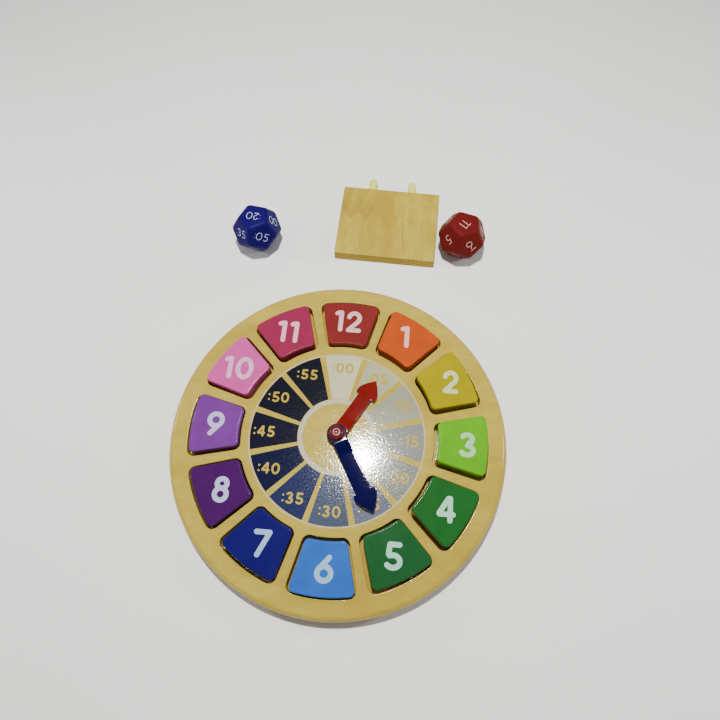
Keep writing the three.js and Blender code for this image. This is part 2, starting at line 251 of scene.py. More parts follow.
def combined(mesh, others, operation):
    """The mesh after a boolean operation with each of the others in turn."""
    body = placed("body", mesh)
    tools = [placed("tool", other) for other in others]
    for tool in tools:
        step = body.modifiers.new("step", "BOOLEAN")
        step.object = tool
        step.operation = operation
        step.solver = "EXACT"
    graph = bpy.context.evaluated_depsgraph_get()
    graph.update()
    result = bpy.data.meshes.new_from_object(body.evaluated_get(graph))
    for thing in [body] + tools:
        bpy.data.objects.remove(thing)
    return result


def turned_and_moved(mesh, degrees, x=0, y=0, z=0):
    mesh.transform(Matrix.Translation((x, y, z)) @ Matrix.Rotation(math.radians(degrees), 4, "Z"))
    return mesh


def film(name, loops, low, high):
    """A thin flat solid between two heights; inner loops are holes and islands."""
    flat = bmesh.new()
    for loop in loops:
        corners = [flat.verts.new((x, y, high)) for x, y in loop]
        for k, corner in enumerate(corners):
            flat.edges.new((corners[k - 1], corner))
    bmesh.ops.remove_doubles(flat, verts=flat.verts, dist=10 * WELD)
    bmesh.ops.triangle_fill(
        flat, edges=flat.edges[:], use_beauty=True, use_dissolve=False, normal=(0, 0, 1)
    )
    deep = bmesh.ops.extrude_face_region(flat, geom=flat.faces[:])
    for part in deep["geom"]:
        if isinstance(part, bmesh.types.BMVert):
            part.co.z = low
    bmesh.ops.recalc_face_normals(flat, faces=flat.faces)
    mesh = bpy.data.meshes.new(name)
    flat.to_mesh(mesh)
    flat.free()
    return mesh


# Rounded lettering: strokes with round ends, joined into one outline

def bow(x, y, rx, ry, start, end, steps=14):
    """Points along an ellipse about (x, y), in degrees counter-clockwise from +X."""
    turns = np.radians(np.linspace(start, end, steps + 1))
    return [(x + rx * math.cos(turn), y + ry * math.sin(turn)) for turn in turns]


def digit_strokes(stroke):
    """Centre lines of each digit for a height of one, and its width, at a stroke thickness."""
    half = stroke / 2
    top, waist, low = 1 - half, 0.545, half
    bowl = (0.35 - half, 0.34 - half)
    return {
        "0": ([bow(0.37, 0.5, 0.37 - half, 0.5 - half, 0, 360, 40)], 0.74),
        "1": (
            [
                [(0.38 - half, top), (0.38 - half, low)],
                [(0.38 - half, top), (0.17, top - 0.01), (half, top - 0.05)],
            ],
            0.38,
        ),
        "2": (
            [bow(0.325, 0.665, 0.225, 0.335 - half, 170, -38) + [(half + 0.01, low), (0.65 - half, low)]],
            0.65,
        ),
        "3": (
            [bow(0.31, 0.735, 0.2, 0.265 - half, 150, -72), bow(0.31, 0.28, 0.24, 0.28 - half, 88, -150)],
            0.66,
        ),
        "4": (
            [
                [(0.5, low), (0.5, top), (0.43, top), (half - 0.01, 0.345)],
                [(half, 0.32), (0.71 - half, 0.32)],
            ],
            0.71,
        ),
        "5": (
            [
                [(0.67 - half, top), (0.22, top), (0.185, 0.56)]
                + bow(0.355, 0.315, 0.26, 0.315 - half, 118, -142),
            ],
            0.71,
        ),
        "6": (
            [bow(0.35, 0.34, *bowl, 0, 360, 40), bow(0.35, 0.34, *bowl, 180, 132) + [(0.5, top)]],
            0.7,
        ),
        "7": ([[(half, top), (0.7 - half, top), (0.23, low)]], 0.7),
        "8": (
            [
                bow(0.325, (waist + top) / 2, 0.19, (top - waist) / 2, 0, 360, 36),
                bow(0.325, (waist + low) / 2, 0.325 - half, (waist - low) / 2, 0, 360, 36),
            ],
            0.65,
        ),
        "9": (
            [bow(0.35, 0.66, *bowl, 0, 360, 40), bow(0.35, 0.66, *bowl, 0, -48) + [(0.2, low)]],
            0.7,
        ),
        ":": ([[(half, 0.25), (half, 0.2501)], [(half, 0.72), (half, 0.7201)]], stroke),
        "_": ([[(half, -0.22), (0.7 - half, -0.22)]], 0),
    }


def lettering(text, height, stroke, spacing, step):
    """Outlines of a text in millimetres, centred on the origin; spacing is a share of its height."""
    glyphs = digit_strokes(stroke / height)
    lines, pen, last = [], 0.0, 0.0
    for sign in text:
        strokes, width = glyphs[sign]
        if width:
            last = pen
            pen += width + spacing
        # A line under a digit has no width: it starts where that digit did
        lines += [[((x + last) * height, (y - 0.5) * height) for x, y in line] for line in strokes]
    middle = (pen - spacing) * height / 2
    return stroke_outlines([[(x - middle, y) for x, y in line] for line in lines], stroke, step)


def stroke_outlines(lines, stroke, step):
    """Closed outlines of all that lies within half a stroke of the lines."""
    ends = [(a, b) for line in lines for a, b in zip(line, line[1:])]
    starts = np.array([a for a, b in ends])
    along = np.array([b for a, b in ends]) - starts
    margin = stroke / 2 + 3 * step
    low = np.min([np.min(line, axis=0) for line in lines], axis=0) - margin
    high = np.max([np.max(line, axis=0) for line in lines], axis=0) + margin
    nx, ny = (np.ceil((high - low) / step)).astype(int) + 1
    xs, ys = low[0] + step * np.arange(nx), low[1] + step * np.arange(ny)
    grid = np.stack(np.meshgrid(xs, ys, indexing="ij"), -1).reshape(-1, 1, 2)
    reach = grid - starts
    share = np.clip((reach * along).sum(-1) / (along * along).sum(-1), 0, 1)
    away = np.sqrt(((reach - share[..., None] * along) ** 2).sum(-1)).min(1).reshape(nx, ny) - stroke / 2
    return traced(away, xs, ys)


def traced(field, xs, ys):
    """Closed loops where a field on a grid passes through zero."""
    inside = field < 0

    def crossing(edge):
        (i, j), (m, n) = edge
        share = field[i, j] / (field[i, j] - field[m, n])
        return (xs[i] + share * (xs[m] - xs[i]), ys[j] + share * (ys[n] - ys[j]))

    links = {}
    for i, j in np.argwhere(
        (inside[:-1, :-1] != inside[1:, :-1])
        | (inside[:-1, :-1] != inside[:-1, 1:])
        | (inside[:-1, :-1] != inside[1:, 1:])
    ):
        corners = [(i, j), (i + 1, j), (i + 1, j + 1), (i, j + 1)]
        cuts = [
            (corners[k], corners[(k + 1) % 4])
            for k in range(4)
            if inside[corners[k]] != inside[corners[(k + 1) % 4]]
        ]
        if len(cuts) == 4:
            cuts = cuts[1:] + cuts[:1] if inside[corners[0]] else cuts
        for a, b in zip(cuts[::2], cuts[1::2]):
            a, b = tuple(sorted(a)), tuple(sorted(b))
            links.setdefault(a, []).append(b)
            links.setdefault(b, []).append(a)
    loops = []
    while links:
        first = next(iter(links))
        loop, here = [first], links[first][0]
        before = first
        while here != first:
            loop.append(here)
            ways = links[here]
            before, here = here, ways[0] if ways[1] == before else ways[1]
        for edge in loop:
            del links[edge]
        loops.append([crossing(edge) for edge in loop])
    return loops


# Materials

def srgb(red, green, blue):
    """A colour read in 0 to 255 as the linear values that shaders take."""
    def linear(value):
        value /= 255
        return value / 12.92 if value <= 0.04045 else ((value + 0.055) / 1.055) ** 2.4

    return (linear(red), linear(green), linear(blue), 1)


class Sheet:
    """A node tree with short calls for adding and wiring nodes."""

    def __init__(self, tree):
        self.tree = tree

    def add(self, kind, **settings):
        node = self.tree.nodes.new(kind)
        for key, value in settings.items():
            setattr(node, key, value)
        return node

    def link(self, output, socket):
        self.tree.links.new(output, socket)

    def feed(self, socket, value):
        if isinstance(value, bpy.types.NodeSocket):
            self.link(value, socket)
        else:
            socket.default_value = value

    def math(self, operation, *values, clamp=False):
        node = self.add("ShaderNodeMath", operation=operation, use_clamp=clamp)
        for socket, value in zip(node.inputs, values):
            self.feed(socket, value)
        return node.outputs[0]

    def times(self, first, second, plus=0.0, clamp=False):
        return self.math("MULTIPLY_ADD", first, second, plus, clamp=clamp)

    def mix(self, share, first, second, blend="MIX"):
        node = self.add("ShaderNodeMix", data_type="RGBA", blend_type=blend)
        self.feed(node.inputs["Factor"], share)
        self.feed(node.inputs["A"], first)
        self.feed(node.inputs["B"], second)
        return node.outputs["Result"]

    def stretched(self, vector, scale):
        node = self.add("ShaderNodeMapping")
        self.feed(node.inputs["Vector"], vector)
        node.inputs["Scale"].default_value = scale
        return node.outputs["Vector"]

    def parts(self, vector):
        """The X, Y and Z of a vector."""
        node = self.add("ShaderNodeSeparateXYZ")
        self.link(vector, node.inputs[0])
        return node.outputs

    def levelness(self):
        """One where the surface lies level, zero where it stands upright."""
        normal = self.add("ShaderNodeNewGeometry").outputs["Normal"]
        return self.math("ABSOLUTE", self.parts(normal)["Z"])

    def noise(self, vector, scale, detail=3.0, rough=0.5, distortion=0.0):
        node = self.add("ShaderNodeTexNoise")
        self.feed(node.inputs["Vector"], vector)
        self.feed(node.inputs["Scale"], scale)
        node.inputs["Detail"].default_value = detail
        node.inputs["Roughness"].default_value = rough
        node.inputs["Distortion"].default_value = distortion
        return node.outputs["Fac"]

    def band(self, value, low, high, to_low=0.0, to_high=1.0):
        node = self.add("ShaderNodeMapRange")
        self.feed(node.inputs["Value"], value)
        for label, limit in zip(("From Min", "From Max", "To Min", "To Max"), (low, high, to_low, to_high)):
            self.feed(node.inputs[label], limit)
        return node.outputs["Result"]


WHITE, BLACK = (1, 1, 1, 1), (0, 0, 0, 1)


def effect(name, takes, gives):
    """A new node group that takes a place and named values; returns its sheet, inputs and outputs."""
    tree = bpy.data.node_groups.new(name, "ShaderNodeTree")
    tree.interface.new_socket("Place", in_out="INPUT", socket_type="NodeSocketVector")
    for label, value in takes.items():
        kind = "NodeSocketColor" if isinstance(value, tuple) else "NodeSocketFloat"
        tree.interface.new_socket(label, in_out="INPUT", socket_type=kind).default_value = value
    for label in gives:
        kind = "NodeSocketColor" if label == "Color" else "NodeSocketFloat"
        tree.interface.new_socket(label, in_out="OUTPUT", socket_type=kind)
    sheet = Sheet(tree)
    return sheet, sheet.add("NodeGroupInput").outputs, sheet.add("NodeGroupOutput").inputs


def make_birch_figure():
    """Birch veneer: broad figure, ripples, streaks along the grain, short dark flecks and ply edges.

    Ply is the thickness of a ply in millimetres.
    """
    takes = dict(Pale=WHITE, Warm=WHITE, Dark=BLACK, Figure=0.5, Fleck=0.5, Ply=1.5)
    sheet, given, out = effect("birch figure", takes, ["Color", "Height"])
    place = given["Place"]
    broad = sheet.noise(sheet.stretched(place, (9, 30, 30)), 1.0, 4, 0.55, 0.8)
    streak = sheet.noise(sheet.stretched(place, (60, 900, 900)), 1.0, 3, 0.6, 0.3)
    fine = sheet.noise(sheet.stretched(place, (350, 2600, 2600)), 1.0, 2, 0.5)
    ripple = sheet.noise(sheet.stretched(place, (55, 150, 150)), 1.0, 3, 0.6, 0.6)
    warm = sheet.times(sheet.band(broad, 0.42, 0.68), given["Figure"])
    colour = sheet.mix(warm, given["Pale"], given["Warm"])
    ripples = sheet.times(sheet.band(ripple, 0.42, 0.66), 0.6)
    colour = sheet.mix(sheet.times(ripples, given["Figure"]), colour, given["Warm"])
    streaks = sheet.times(sheet.band(streak, 0.45, 0.75), 0.45)
    colour = sheet.mix(sheet.times(streaks, given["Figure"]), colour, given["Warm"])
    fleck = sheet.times(sheet.band(fine, 0.58, 0.75), given["Fleck"])
    colour = sheet.mix(fleck, colour, given["Dark"])
    # Sawn edges show the plies as level bands, lighter and darker by turns
    upright = sheet.band(sheet.levelness(), 0.25, 0.1)
    wander = sheet.times(sheet.noise(sheet.stretched(place, (40, 40, 10)), 1.0, 2), 0.0012)
    height = sheet.math("ADD", sheet.parts(place)["Z"], wander)
    layers = sheet.math("DIVIDE", height, sheet.times(given["Ply"], MM))
    saw = sheet.math("PINGPONG", layers, 1.0)
    plies = sheet.times(sheet.band(saw, 0.35, 0.65), upright)
    grit = sheet.noise(sheet.stretched(place, (1200, 1200, 3000)), 1.0, 2)
    edge = sheet.mix(sheet.band(grit, 0.4, 0.7, 0.25, 0.75), given["Warm"], given["Dark"])
    colour = sheet.mix(sheet.times(plies, 0.75), colour, edge)
    sheet.link(colour, out["Color"])
    relief = sheet.times(streak, 0.6, sheet.times(fine, 0.4))
    sheet.link(relief, out["Height"])
    return sheet.tree


def make_orange_peel():
    """The dimpled skin of sprayed varnish, deeper in some patches, with a finer sparkle on it.

    Dimple is the width of a dimple in millimetres, Fine the depth of the sparkle, and Round how much
    deeper the skin is on the rounded rim. Dull is a mask of rougher flecks and of upright sides.
    """
    sheet, given, out = effect("orange peel", dict(Dimple=1.3, Fine=0.12, Round=1.0), ["Height", "Dull"])
    size = sheet.math("DIVIDE", 1 / MM, given["Dimple"])
    flecks = sheet.noise(given["Place"], sheet.times(size, 1.3), 1.0)
    dimples = sheet.math("SUBTRACT", sheet.noise(given["Place"], size, 0.0), 0.5)
    fine = sheet.math("SUBTRACT", sheet.noise(given["Place"], sheet.times(size, 2.3), 0.0), 0.5)
    both = sheet.times(fine, given["Fine"], dimples)
    patches = sheet.noise(given["Place"], sheet.times(size, 0.8), 1.0)
    both = sheet.times(both, sheet.band(patches, 0.55, 0.72, 1.0, 3.0))
    # The coat dries rougher where the rim rounds over
    level = sheet.levelness()
    x, y = sheet.parts(given["Place"])[:2]
    reach = sheet.math("SQRT", sheet.times(x, x, sheet.times(y, y)))
    rim = sheet.band(reach, (BOARD_RADIUS - 6) * MM, (BOARD_RADIUS - 3) * MM, 0.4, 1.0)
    rounded = sheet.band(level, 0.998, 0.93, 1.0, sheet.times(given["Round"], rim))
    sides = sheet.band(level, 0.7, 0.35, 0.0, 4.0)
    sheet.link(sheet.math("ADD", sheet.band(flecks, 0.48, 0.62), sides), out["Dull"])
    sheet.link(sheet.times(both, rounded), out["Height"])
    return sheet.tree


def make_worn_edge():
    """A mask of rounded edges, broken up as on a handled toy, and one of hairline scuffs."""
    sheet, given, out = effect("worn edge", dict(Broken=0.6), ["Edge", "Scuff"])
    point = sheet.add("ShaderNodeNewGeometry").outputs["Pointiness"]
    lifted = sheet.band(point, 0.505, 0.56)
    patches = sheet.band(sheet.noise(given["Place"], 700.0, 3, 0.6), 0.45, 0.62)
    # Wide flat faces take their corners' pointiness, so level ones are left out
    turned_over = sheet.band(sheet.levelness(), 0.998, 0.96)
    broken = sheet.times(sheet.times(given["Broken"], patches), turned_over)
    sheet.link(sheet.times(lifted, broken, clamp=True), out["Edge"])
    scratch = sheet.noise(sheet.stretched(given["Place"], (90, 2400, 90)), 1.0, 2, 0.6, 0.6)
    sheet.link(sheet.band(scratch, 0.62, 0.7), out["Scuff"])
    return sheet.tree


def make_stand_marks():
    """The stand's own marks, in its own frame: two brown tongues in the figure and a hairline split."""
    tongue_fold, tongue_half_width, tongue_slope = 38.0, 7.6, 1.4
    split_across, split_up, split_slant = 14.2, 13.5, -0.09
    sheet, given, out = effect("stand marks", {}, ["Tongue", "Split"])
    own = sheet.add("ShaderNodeMapping", vector_type="TEXTURE")
    sheet.link(given["Place"], own.inputs["Vector"])
    own.inputs["Location"].default_value = (STAND_CENTRE[0] * MM, STAND_CENTRE[1] * MM, 0)
    own.inputs["Rotation"].default_value = (0, 0, math.radians(STAND_DEGREES))
    x, y = sheet.parts(sheet.stretched(own.outputs["Vector"], (1 / MM,) * 3))[:2]
    stray = sheet.math("SUBTRACT", sheet.noise(given["Place"], 90.0, 3, 0.6), 0.5)
    strayed = sheet.times(stray, 6.0, sheet.math("ADD", x, tongue_fold))
    fold = sheet.math("PINGPONG", strayed, tongue_half_width)
    foot = sheet.times(fold, tongue_slope, 1.5)
    above = sheet.math("SUBTRACT", sheet.times(stray, 9.0, y), foot)
    tongue = sheet.times(sheet.band(above, -4.0, 2.0), sheet.band(above, 0.0, 22.0, 1.0, 0.0))
    sheet.link(sheet.times(tongue, sheet.band(x, -4.0, -20.0)), out["Tongue"])
    bend = sheet.times(y, split_slant, sheet.times(stray, 2.0, split_across))
    line = sheet.band(sheet.math("ABSOLUTE", sheet.math("SUBTRACT", x, bend)), 0.5, 0.1)
    span = sheet.band(sheet.math("ABSOLUTE", sheet.math("ADD", y, split_up)), 12.0, 9.0)
    dashes = sheet.band(sheet.noise(given["Place"], 260.0, 1.0), 0.4, 0.55)
    sheet.link(sheet.times(sheet.times(line, span), dashes), out["Split"])
    return sheet.tree


BIRCH = make_birch_figure()
PEEL = make_orange_peel()
WEAR = make_worn_edge()
MARKS = make_stand_marks()

# The varnish over the board and its print, and the coats on the blocks; bump depths are in millimetres
VARNISH_PEEL = 0.025
VARNISH_ROUGHNESS = 0.06
VARNISH_DULLING = 0.09
VARNISH_GLOSS = 0.3
SATIN_BUMP = 0.003
INK_BUMP = 0.01


class Finish:
    """A material with one Principled shader, and calls that place the shared effects in it."""

    def __init__(self, name):
        self.material = bpy.data.materials.new(name)
        self.material.use_nodes = True
        self.sheet = Sheet(self.material.node_tree)
        self.shader = self.material.node_tree.nodes["Principled BSDF"]
        self.place = self.sheet.add("ShaderNodeTexCoord").outputs["Object"]

    def set(self, **values):
        for key, value in values.items():
            self.sheet.feed(self.shader.inputs[key.replace("_", " ")], value)

    def effect(self, tree, **values):
        node = self.sheet.add("ShaderNodeGroup")
        node.node_tree = tree
        self.sheet.link(self.place, node.inputs["Place"])
        for key, value in values.items():
            self.sheet.feed(node.inputs[key], value)
        return node.outputs

    def bump(self, height, depth):
        node = self.sheet.add("ShaderNodeBump")
        node.inputs["Strength"].default_value = 1.0
        node.inputs["Distance"].default_value = depth * MM
        self.sheet.link(height, node.inputs["Height"])
        self.sheet.link(node.outputs["Normal"], self.shader.inputs["Normal"])


def shaded(colour, share, lift=0.0):
    """A colour times a share, lifted towards white."""
    return tuple(min(1.0, value * share + lift) for value in colour[:3]) + (1,)


def varnished_birch(
    name, pale, warm, dark, figure=0.6, turn=0.0,
    roughness=VARNISH_ROUGHNESS, peel=VARNISH_PEEL, gloss=VARNISH_GLOSS, marks=None,
):
    """Birch veneer under varnish, with the grain turned about +Z."""
    finish = Finish(name)
    sheet = finish.sheet
    marked = finish.effect(marks) if marks else None
    if turn:
        node = sheet.add("ShaderNodeMapping")
        sheet.link(finish.place, node.inputs["Vector"])
        node.inputs["Rotation"].default_value = (0, 0, turn)
        finish.place = node.outputs["Vector"]
    wood = finish.effect(BIRCH, Pale=pale, Warm=warm, Dark=dark, Figure=figure, Fleck=0.35)
    dimples = finish.effect(PEEL, Round=4.0)
    colour = wood["Color"]
    if marked:
        colour = sheet.mix(sheet.times(marked["Tongue"], 0.55), colour, TONGUE_BROWN)
        colour = sheet.mix(sheet.times(marked["Split"], 0.7), colour, SPLIT_BROWN)
    sheen = sheet.times(dimples["Dull"], VARNISH_DULLING, roughness)
    finish.set(Base_Color=colour, Roughness=sheen, Specular_IOR_Level=gloss)
    height = sheet.math("ADD", dimples["Height"], sheet.times(wood["Height"], 0.12))
    finish.bump(height, peel)
    return finish.material


def printed(name, colour):
    """Ink under the board's varnish, thin enough to let the grain's shade through."""
    finish = Finish(name)
    sheet = finish.sheet
    wood = finish.effect(
        BIRCH, Pale=WHITE, Warm=(0.86, 0.84, 0.8, 1), Dark=(0.7, 0.68, 0.66, 1), Figure=0.5
    )
    dimples = finish.effect(PEEL)
    tint = sheet.mix(1.0, colour, wood["Color"], "MULTIPLY")
    sheen = sheet.times(dimples["Dull"], VARNISH_DULLING, VARNISH_ROUGHNESS)
    finish.set(Base_Color=tint, Roughness=sheen, Specular_IOR_Level=VARNISH_GLOSS)
    finish.bump(dimples["Height"], VARNISH_PEEL)
    return finish.material


class Coat(Finish):
    """A finish with worn edges and dimples, whose base colour drifts between two shades."""

    def __init__(self, name, low, high, cloud, broken, dimple, fine):
        super().__init__(name)
        self.drift = self.sheet.noise(self.place, *cloud)
        self.base = self.sheet.mix(self.sheet.band(self.drift, 0.35, 0.65), low, high)
        self.wear = self.effect(WEAR, Broken=broken)
        self.dimples = self.effect(PEEL, Dimple=dimple, Fine=fine)

    def rub(self, share, colour):
        self.base = self.sheet.mix(self.sheet.times(self.wear["Edge"], share), self.base, colour)

    def made(self, roughness, depth, **values):
        self.set(Base_Color=self.base, Roughness=roughness, **values)
        self.bump(self.dimples["Height"], depth)
        return self.material


def satin_paint(name, colour, gloss):
    """Dipped satin paint: slightly uneven, rubbed paler on its edges."""
    low, high = shaded(colour, 0.93), shaded(colour, 1.06)
    coat = Coat(name, low, high, cloud=(60.0, 3, 0.6), broken=0.5, dimple=2.0, fine=0.3)
    coat.rub(0.2, shaded(colour, 0.75, 0.2))
    sheen = coat.sheet.times(coat.wear["Edge"], 0.2, coat.sheet.band(coat.drift, 0.3, 0.7, 0.11, 0.14))
    return coat.made(sheen, SATIN_BUMP, Specular_IOR_Level=gloss)


def moulded_plastic(name, colour, roughness, scuff, wave=0.012, gloss=0.35, rubbing=0.3):
    """Moulded plastic with hairline scuffs and faint flow waves."""
    low = shaded(colour, 0.85)
    coat = Coat(name, low, colour, cloud=(140.0, 3, 0.55), broken=0.5, dimple=3.0, fine=0.25)
    coat.rub(rubbing, shaded(colour, 0.8, 0.12))
    sheen = coat.sheet.times(coat.wear["Scuff"], scuff, roughness)
    return coat.made(sheen, wave, Specular_IOR_Level=gloss)


def numeral_paint(name, colour):
    """Thick matt ink on a block or a die."""
    low = shaded(colour, 0.93)
    coat = Coat(name, low, colour, cloud=(120.0, 3, 0.6), broken=0.4, dimple=0.9, fine=0.5)
    return coat.made(coat.sheet.times(coat.wear["Scuff"], 0.1, 0.45), INK_BUMP)


WOOD_PALE, WOOD_WARM, WOOD_DARK = srgb(184, 164, 68), srgb(163, 137, 42), srgb(122, 92, 28)
TONGUE_BROWN, SPLIT_BROWN = srgb(142, 108, 34), srgb(84, 58, 16)
BOARD_WOOD = varnished_birch("varnished board veneer", WOOD_PALE, WOOD_WARM, WOOD_DARK)
BACK_WOOD = varnished_birch("varnished back veneer", srgb(176, 150, 64), srgb(158, 124, 40), WOOD_DARK)
STAND_WOOD = varnished_birch(
    "sanded stand veneer", srgb(186, 169, 59), srgb(163, 134, 35), srgb(116, 85, 21),
    figure=0.9, turn=QUARTER_TURN, roughness=0.4, peel=0.012, marks=MARKS,
)
DOWEL_WOOD = varnished_birch(
    "pale dowel", srgb(232, 236, 112), srgb(216, 214, 90), srgb(150, 140, 60),
    figure=0.4, turn=QUARTER_TURN, roughness=0.2, peel=0.012, gloss=0.5,
)
RED_PLASTIC = moulded_plastic("red hand plastic", srgb(112, 21, 18), 0.1, 0.06, gloss=0.14)
CAP_PLASTIC = moulded_plastic("red cap plastic", srgb(98, 21, 25), 0.26, 0.05, wave=0.003)
BLUE_PLASTIC = moulded_plastic("blue hand plastic", srgb(6, 3, 58), 0.07, 0.05, wave=0.008, gloss=0.16)
WASHER_PLASTIC = moulded_plastic("washer plastic", srgb(214, 210, 196), 0.45, 0.1)
DIE_POLISH = dict(roughness=0.45, scuff=0.03, gloss=0.05, rubbing=0.0)
MINUTE_DIE_PLASTIC = moulded_plastic("blue die plastic", srgb(24, 8, 88), **DIE_POLISH)
HOUR_DIE_PLASTIC = moulded_plastic("red die plastic", srgb(98, 24, 22), **DIE_POLISH)
MINUTE_DIE_INK = numeral_paint("blue die numbers", srgb(190, 196, 226))
HOUR_DIE_INK = numeral_paint("red die numbers", srgb(226, 178, 174))

# The paint slots of the blocks and their colours, 1 to 12 o'clock
BLOCK_PAINTS = [
    ("orange_paint", srgb(172, 72, 25)), ("yellow_paint", srgb(152, 139, 0)),
    ("lime_paint", srgb(88, 160, 16)), ("green_paint", srgb(31, 87, 36)),
    ("dark_green_paint", srgb(29, 80, 41)), ("light_blue_paint", srgb(42, 92, 175)),
    ("dark_blue_paint", srgb(25, 17, 89)), ("purple_paint", srgb(63, 19, 80)),
    ("violet_paint", srgb(105, 51, 128)), ("pink_paint", srgb(188, 75, 143)),
    ("magenta_paint", srgb(133, 40, 70)), ("red_paint", srgb(115, 40, 38)),
]
PAINT_GLOSS = 0.07
MATT_HOUR = 2  # the yellow block, which shows no sheen

# White ink that takes on a little of the paint that it covers
NUMERAL_INKS = [
    srgb(224, 161, 150), srgb(181, 196, 127), srgb(139, 198, 133), srgb(137, 194, 161),
    srgb(133, 192, 167), srgb(123, 169, 200), srgb(133, 163, 203), srgb(166, 172, 204),
    srgb(177, 167, 206), srgb(214, 153, 188), srgb(224, 153, 174), srgb(212, 162, 166),
]

# The dial's fields from :00 round to :55
WEDGE_INKS = [
    srgb(195, 192, 157), srgb(167, 170, 136), srgb(147, 150, 130), srgb(129, 130, 124),
    srgb(124, 127, 121), srgb(92, 96, 115), srgb(64, 75, 96), srgb(34, 40, 78),
    srgb(14, 19, 51), srgb(18, 17, 37), srgb(17, 18, 33), srgb(16, 20, 31),
]
DIAL_RING_INK = srgb(190, 181, 158)


# Board

CORNER_POINTS, OUTER_POINTS, INNER_POINTS, SIDE_POINTS = 9, 14, 10, 6
CORNER_MIDDLE = CORNER_POINTS // 2
POCKET_POINTS = 4 * CORNER_POINTS + OUTER_POINTS + INNER_POINTS + 2 * SIDE_POINTS


def arc_points(centre, radius, start, end, count):
    turns = np.linspace(start, end, count)
    return np.column_stack([centre[0] + radius * np.cos(turns), centre[1] + radius * np.sin(turns)])


def pocket_outline(inset):
    """The pocket at 12 o'clock drawn in all round by an inset, as POCKET_POINTS points."""
    corner = POCKET_CORNER_RADIUS - inset
    inner, outer = POCKET_INNER_RADIUS + inset, POCKET_OUTER_RADIUS - inset
    spoke = np.array([math.sin(HOUR_ANGLE / 2), math.cos(HOUR_ANGLE / 2)])
    across = np.array([-spoke[1], spoke[0]])
    low = spoke * POCKET_INNER_RADIUS + across * SPOKE_INNER_WIDTH / 2
    high = spoke * POCKET_OUTER_RADIUS + across * SPOKE_OUTER_WIDTH / 2
    along = (high - low) / np.linalg.norm(high - low)
    inwards = np.array([-along[1], along[0]])
    start = low + inwards * (inset + corner)

    def centre_at(radius):
        near = start @ along
        return start + along * (math.sqrt(near * near - start @ start + radius * radius) - near)

    low_centre, high_centre = centre_at(inner + corner), centre_at(outer - corner)
    side = math.atan2(-inwards[1], -inwards[0])
    low_turn, high_turn = math.atan2(*low_centre[::-1]), math.atan2(*high_centre[::-1])
    right_high = arc_points(high_centre, corner, side, high_turn, CORNER_POINTS)
    right_low = arc_points(low_centre, corner, HALF_TURN + low_turn, 2 * HALF_TURN + side, CORNER_POINTS)
    mirror = np.array([-1, 1])
    left_high, left_low = right_high[::-1] * mirror, right_low[::-1] * mirror
    top = arc_points((0, 0), outer, high_turn, HALF_TURN - high_turn, OUTER_POINTS + 2)[1:-1]
    foot = arc_points((0, 0), inner, HALF_TURN - low_turn, low_turn, INNER_POINTS + 2)[1:-1]

    def side_points(first, last):
        return first + (last - first) * np.linspace(0, 1, SIDE_POINTS + 2)[1:-1, None]

    return np.concatenate([
        right_high, top, left_high, side_points(left_high[-1], left_low[0]),
        left_low, foot, right_low, side_points(right_low[-1], right_high[0]),
    ])


def sector_frame(inner, outer):
    """Points of the 30 degree sector's border that face those of pocket_outline."""
    middles = [CORNER_MIDDLE]
    middles.append(middles[-1] + CORNER_POINTS + OUTER_POINTS)
    middles.append(middles[-1] + CORNER_POINTS + SIDE_POINTS)
    middles.append(middles[-1] + CORNER_POINTS + INNER_POINTS)
    right, left = QUARTER_TURN - HOUR_ANGLE / 2, QUARTER_TURN + HOUR_ANGLE / 2
    polar = [(outer, right), (outer, left), (inner, left), (inner, right)]
    points = np.zeros((POCKET_POINTS, 2))
    for k in range(4):
        (near_radius, near_turn), (far_radius, far_turn) = polar[k], polar[(k + 1) % 4]
        first, last = middles[k], middles[(k + 1) % 4]
        steps = (last - first) % POCKET_POINTS
        for i in range(steps + 1):
            share = i / steps
            radius = near_radius + (far_radius - near_radius) * share
            turn = near_turn + (far_turn - near_turn) * share
            points[(first + i) % POCKET_POINTS] = radius * math.cos(turn), radius * math.sin(turn)
    return points


def rotated(points, turn):
    cosine, sine = math.cos(turn), math.sin(turn)
    return points @ np.array([[cosine, sine], [-sine, cosine]])


